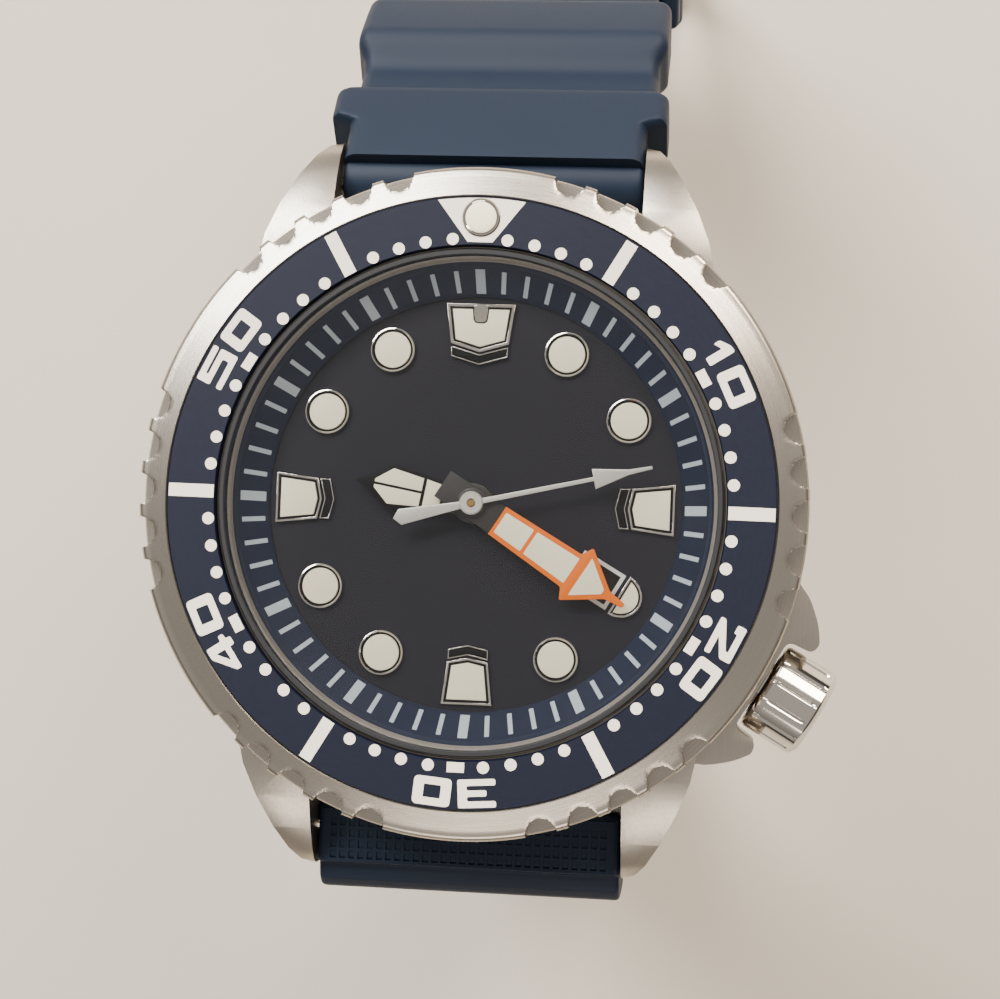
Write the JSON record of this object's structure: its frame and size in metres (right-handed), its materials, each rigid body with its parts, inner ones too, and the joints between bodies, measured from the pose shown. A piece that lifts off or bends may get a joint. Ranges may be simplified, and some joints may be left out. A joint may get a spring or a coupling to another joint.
{
  "type": "wristwatch",
  "caption": "Analogue diver wristwatch with turning bezel, offset crown, day-lit quartz movement and hinged two-part rubber strap with buckle.",
  "frame": {"origin": "centre of the case back's outer face, on the hands' axis", "axes": "+Z towards the crystal, +Y towards 12 and +X towards 3 on the dial"},
  "size_m": [0.0453, 0.0807, 0.0766],
  "materials": {
    "brushed_steel": "satin brushed",
    "polished_steel": "polished",
    "movement_steel": "satin",
    "movement_brass": "satin",
    "movement_plastic": "matte",
    "circuit_green": "satin",
    "coil_copper": "enamelled wire",
    "crystal_glass": "polished clear",
    "seal_rubber": "matte",
    "rehaut_blue": "satin",
    "dial_charcoal": "fine matte",
    "lume": "matte",
    "hand_dark": "black outline with pale fill",
    "hand_orange": "orange outline with pale fill",
    "hand_silver": "satin",
    "insert_navy": "satin anodised",
    "strap_blue": "matte moulded"
  },
  "bodies": {
    "case_body": {"bezel_click_spring": "polished_steel", "bezel_gasket": "seal_rubber", "case_back": "brushed_steel", "case_back_gasket": "seal_rubber", "case_middle": "brushed_steel", "circuit_block": "circuit_green", "coil": "coil_copper", "crown_tube": "polished_steel", "crystal": "crystal_glass", "crystal_gasket": "seal_rubber", "date_jumper": "polished_steel", "dial": "dial_charcoal", "main_plate": "movement_brass", "marker_01": "lume", "marker_02": "lume", "marker_03": "lume", "marker_04": "lume", "marker_05": "lume", "marker_06": "lume", "marker_07": "lume", "marker_08": "lume", "marker_09": "lume", "marker_10": "lume", "marker_11": "lume", "marker_12": "lume", "movement_spacer": "movement_plastic", "power_cell": "movement_steel", "rehaut_ring": "rehaut_blue", "solar_cell": "dial_charcoal", "spring_bar_06": "polished_steel", "spring_bar_12": "polished_steel", "stator": "movement_steel", "train_bridge": "movement_steel"},
    "bezel": {"bezel_ring": "brushed_steel", "bezel_insert": "insert_navy", "bezel_pip": "lume"},
    "crown_seal": {"crown_gasket": "seal_rubber"},
    "crown_set": {"crown": "polished_steel", "winding_stem": "polished_steel", "clutch": "polished_steel"},
    "lever": {"setting_lever": "polished_steel"},
    "rotor_set": {"rotor": "movement_steel"},
    "fifth_set": {"fifth_wheel": "movement_brass"},
    "second_set": {"second_wheel": "movement_brass", "second_hand": "hand_silver"},
    "third_set": {"third_wheel": "movement_brass"},
    "centre_set": {"centre_wheel": "movement_brass", "minute_hand": "hand_orange"},
    "minute_set": {"minute_wheel": "movement_brass"},
    "hour_set": {"hour_wheel": "movement_brass", "hour_hand": "hand_dark"},
    "date_set": {"date_ring": "movement_plastic"},
    "strap_upper": {"strap_short": "strap_blue", "keeper_fixed": "strap_blue", "buckle_bar": "brushed_steel"},
    "keeper": {"keeper_free": "strap_blue"},
    "buckle": {"buckle_frame": "brushed_steel"},
    "tongue": {"buckle_tongue": "brushed_steel"},
    "strap_lower": {"strap_long": "strap_blue"}
  },
  "joints": [
    {"name": "bezel_turn", "type": "hinge", "parent": "case_body", "child": "bezel", "pos_m": [0, 0, 0.01], "axis": [0, 0, 1], "continuous": true},
    {"name": "crown_pull", "type": "slide", "parent": "case_body", "child": "crown_seal", "axis": [0.866, -0.5, 0], "range_m": [0, 0.0012]},
    {"name": "crown_turn", "type": "hinge", "parent": "crown_seal", "child": "crown_set", "pos_m": [0.01905, -0.011, 0.0043], "axis": [0.866, -0.5, 0], "continuous": true},
    {"name": "lever_swing", "type": "hinge", "parent": "case_body", "child": "lever", "pos_m": [0.00736, -0.00725, 0.00296], "axis": [0, 0, -1], "range_deg": [0, 25]},
    {"name": "second_turn", "type": "hinge", "parent": "case_body", "child": "second_set", "pos_m": [0, 0, 0.0097], "axis": [0, 0, 1], "continuous": true},
    {"name": "rotor_turn", "type": "hinge", "parent": "case_body", "child": "rotor_set", "pos_m": [0.00611, 0.00162, 0.004], "axis": [0, 0, 1], "continuous": true},
    {"name": "fifth_turn", "type": "hinge", "parent": "case_body", "child": "fifth_set", "pos_m": [0.00418, 0, 0.004], "axis": [0, 0, 1], "continuous": true},
    {"name": "third_turn", "type": "hinge", "parent": "case_body", "child": "third_set", "pos_m": [-0.00071, 0.00402, 0.0045], "axis": [0, 0, 1], "continuous": true},
    {"name": "centre_turn", "type": "hinge", "parent": "case_body", "child": "centre_set", "pos_m": [0, 0, 0.0093], "axis": [0, 0, 1], "continuous": true},
    {"name": "minute_turn", "type": "hinge", "parent": "case_body", "child": "minute_set", "pos_m": [-0.00331, -0.00058, 0.0066], "axis": [0, 0, 1], "continuous": true},
    {"name": "hour_turn", "type": "hinge", "parent": "case_body", "child": "hour_set", "pos_m": [0, 0, 0.0088], "axis": [0, 0, 1], "continuous": true},
    {"name": "date_turn", "type": "hinge", "parent": "case_body", "child": "date_set", "pos_m": [0, 0, 0.0072], "axis": [0, 0, 1], "continuous": true},
    {"name": "strap_upper_hinge", "type": "hinge", "parent": "case_body", "child": "strap_upper", "pos_m": [0, 0.0216, 0.0034], "axis": [1, 0, 0], "range_deg": [-4, 45]},
    {"name": "keeper_slide", "type": "slide", "parent": "strap_upper", "child": "keeper", "axis": [0, 0.2756, -0.9613], "range_m": [-0.0045, 0.0022]},
    {"name": "buckle_hinge", "type": "hinge", "parent": "strap_upper", "child": "buckle", "pos_m": [0, 0.05068, -0.05174], "axis": [1, 0, 0], "range_deg": [-60, 60]},
    {"name": "tongue_hinge", "type": "hinge", "parent": "buckle", "child": "tongue", "pos_m": [0, 0.05068, -0.05174], "axis": [1, 0, 0], "range_deg": [0, 50]},
    {"name": "strap_lower_hinge", "type": "hinge", "parent": "case_body", "child": "strap_lower", "pos_m": [0, -0.0216, 0.0034], "axis": [-1, 0, 0], "range_deg": [0, 95]}
  ],
  "couplings": [
    {"joint": "lever_swing", "follows": "crown_pull", "rad_per_m": 363.6},
    {"joint": "rotor_turn", "follows": "second_turn", "ratio": 30},
    {"joint": "fifth_turn", "follows": "second_turn", "ratio": -5},
    {"joint": "third_turn", "follows": "second_turn", "ratio": -0.13333},
    {"joint": "centre_turn", "follows": "second_turn", "ratio": 0.016667},
    {"joint": "minute_turn", "follows": "second_turn", "ratio": -0.0055556},
    {"joint": "hour_turn", "follows": "second_turn", "ratio": 0.0013889}
  ]
}
